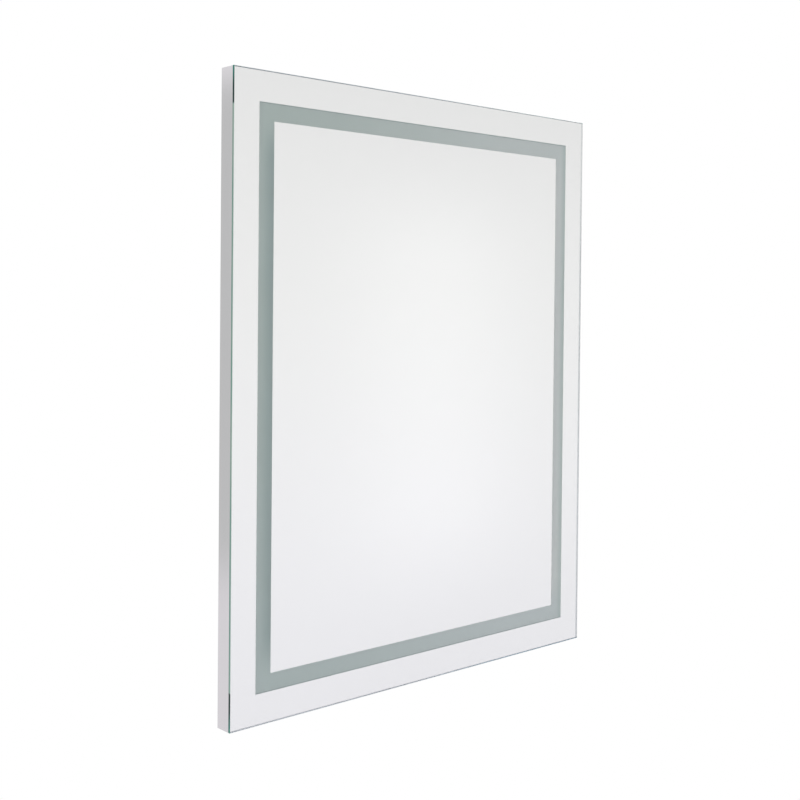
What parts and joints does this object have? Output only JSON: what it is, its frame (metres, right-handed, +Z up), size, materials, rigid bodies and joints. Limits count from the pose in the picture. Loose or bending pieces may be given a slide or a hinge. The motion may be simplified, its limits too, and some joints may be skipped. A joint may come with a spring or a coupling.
{
  "type": "lighted bathroom mirror",
  "caption": "Wall-hung rectangular bathroom mirror with a frosted light band let into its silvered face, a shallow mitred aluminium casing and a hook-on wall bar.",
  "frame": {"origin": "on the wall plane, midway along the wall bar's row of screw holes", "axes": "+X to the right as seen from the front, +Y into the wall, +Z up; the mirror faces -Y"},
  "size_m": [0.81, 0.034, 1],
  "materials": {
    "pane_glass": "polished, with a green edge",
    "mirror_silver": "silvered",
    "casing_aluminium": "satin anodised",
    "bar_aluminium": "mill finish",
    "key_alloy": "die cast",
    "panel_paint": "fine powder coat",
    "zinc_steel": "zinc plated",
    "tinned_braid": "tinned braid",
    "reflector_white": "white gloss paint",
    "strip_board": "white solder mask",
    "lead_jacket": "soft PVC",
    "driver_plastic": "moulded",
    "terminal_plastic": "moulded",
    "grommet_rubber": "matt",
    "foam_tape": "closed-cell foam",
    "spacer_foam": "polyethylene foam"
  },
  "bodies": {
    "wall_bar": {"wall_bar": "bar_aluminium"},
    "mirror": {"mirror_glass": "pane_glass", "silvering_border": "mirror_silver", "silvering_centre": "mirror_silver", "casing_top": "casing_aluminium", "casing_bottom": "casing_aluminium", "casing_left": "casing_aluminium", "casing_right": "casing_aluminium", "hanging_bar": "bar_aluminium", "corner_key_top_left": "key_alloy", "corner_key_top_right": "key_alloy", "corner_key_bottom_left": "key_alloy", "corner_key_bottom_right": "key_alloy", "back_panel": "panel_paint", "terminal_cover": "panel_paint", "panel_screws": "zinc_steel", "cover_screws": "zinc_steel", "hanging_rivets": "zinc_steel", "earth_stud": "zinc_steel", "earth_nut": "zinc_steel", "terminal_box": "zinc_steel", "earth_lead": "tinned_braid", "reflector_top": "reflector_white", "reflector_bottom": "reflector_white", "reflector_left": "reflector_white", "reflector_right": "reflector_white", "led_strip_top": "strip_board", "led_strip_bottom": "strip_board", "led_strip_left": "strip_board", "led_strip_right": "strip_board", "strip_links": "lead_jacket", "supply_lead": "lead_jacket", "output_lead": "lead_jacket", "led_driver": "driver_plastic", "driver_end_caps": "driver_plastic", "cable_clips": "driver_plastic", "terminal_block": "terminal_plastic", "cable_grommet": "grommet_rubber", "lead_bushes": "grommet_rubber", "bumpers": "grommet_rubber", "bonding_tape": "foam_tape", "driver_tape": "foam_tape", "foam_spacers": "spacer_foam"}
  },
  "joints": [
    {"name": "lift_off", "type": "slide", "parent": "wall_bar", "child": "mirror", "axis": [0, 0, 1], "range_m": [0, 0.016]}
  ]
}
